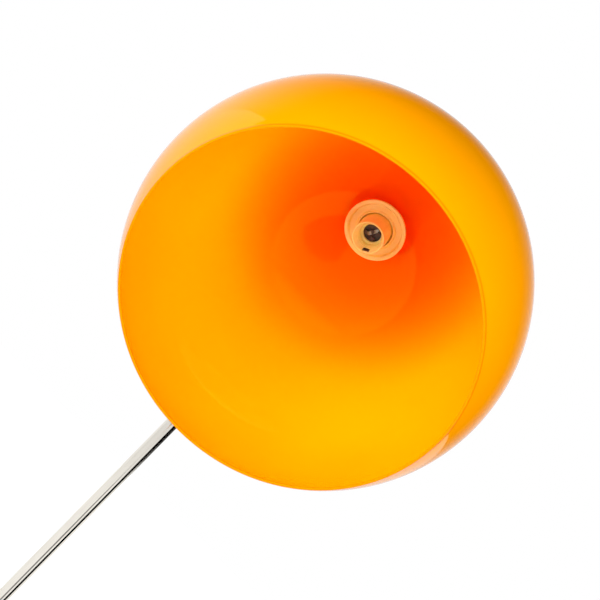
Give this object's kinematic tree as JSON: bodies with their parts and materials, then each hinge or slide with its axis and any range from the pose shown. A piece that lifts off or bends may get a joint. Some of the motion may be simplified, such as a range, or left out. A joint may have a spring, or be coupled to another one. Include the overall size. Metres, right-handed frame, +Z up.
{
  "type": "floor lamp",
  "caption": "Mushroom floor lamp: round weighted base, telescoping cane-topped pole and a tilting open sphere shade on a knuckle, with an E27 lampholder in its crown.",
  "frame": {"origin": "middle of the base's underside, on the pole's axis", "axes": "+Z up along the pole; the shade is in front of the pole, towards -Y, and opens to -Y and down"},
  "size_m": [0.42, 0.7722, 1.45],
  "materials": {
    "felt": "pressed felt",
    "cast_iron": "raw casting",
    "chrome": "mirror-polished plating",
    "black_rubber": "moulded",
    "steel": "zinc-plated",
    "nylon": "moulded",
    "black_plastic": "moulded",
    "fibre": "pressed fibre",
    "flex_sheath": "smooth sheath",
    "orange_acrylic": "polished, slightly translucent",
    "cream_plastic": "moulded, satin",
    "brass": "plain"
  },
  "bodies": {
    "base": {"base_pad": "felt", "base_weight": "cast_iron", "base_cover": "chrome", "cable_inlet": "black_rubber", "pole_spigot": "steel", "spigot_washer": "steel", "spigot_nut": "steel", "lower_tube": "chrome", "guide_bush": "nylon", "clamp_collar": "chrome", "base_flex": "flex_sheath", "slack_flex": "flex_sheath"},
    "clamp": {"clamp_knob": "black_plastic", "clamp_stud": "steel"},
    "cane": {"cane_tube": "chrome", "slider_foot": "nylon", "knuckle_upper": "chrome", "friction_washer": "fibre", "pivot_screw": "chrome", "knob_washer": "steel", "cane_flex": "flex_sheath", "knuckle_flex": "flex_sheath"},
    "tension_knob": {"tilt_knob": "chrome"},
    "shade": {"knuckle_lower": "chrome", "acrylic_shade": "orange_acrylic", "crown_gasket": "black_rubber", "crown_cap": "chrome", "inner_gasket": "black_rubber", "shade_washer": "steel", "shade_nut": "steel", "threaded_nipple": "steel", "socket_cup": "cream_plastic", "lampholder_cap": "cream_plastic", "lampholder_barrel": "cream_plastic", "contact_base": "black_plastic", "terminal_screws": "brass", "centre_contact": "brass", "side_contacts": "brass", "stem_flex": "flex_sheath"}
  },
  "joints": [
    {"name": "height_slide", "type": "slide", "parent": "base", "child": "cane", "axis": [0, 0, 1], "range_m": [-0.18, 0.12], "deforming": ["slack_flex"]},
    {"name": "shade_tilt", "type": "hinge", "parent": "cane", "child": "shade", "pos_m": [0, -0.236, 1.36], "axis": [-1, 0, 0], "range_deg": [-60, 50], "deforming": ["knuckle_flex"]},
    {"name": "tilt_knob_turn", "type": "hinge", "parent": "cane", "child": "tension_knob", "pos_m": [0.0236, -0.236, 1.36], "axis": [1, 0, 0], "range_deg": [0, 270]},
    {"name": "clamp_knob_turn", "type": "hinge", "parent": "base", "child": "clamp", "pos_m": [0, 0.03, 0.6525], "axis": [0, 1, 0], "range_deg": [0, 270]}
  ]
}
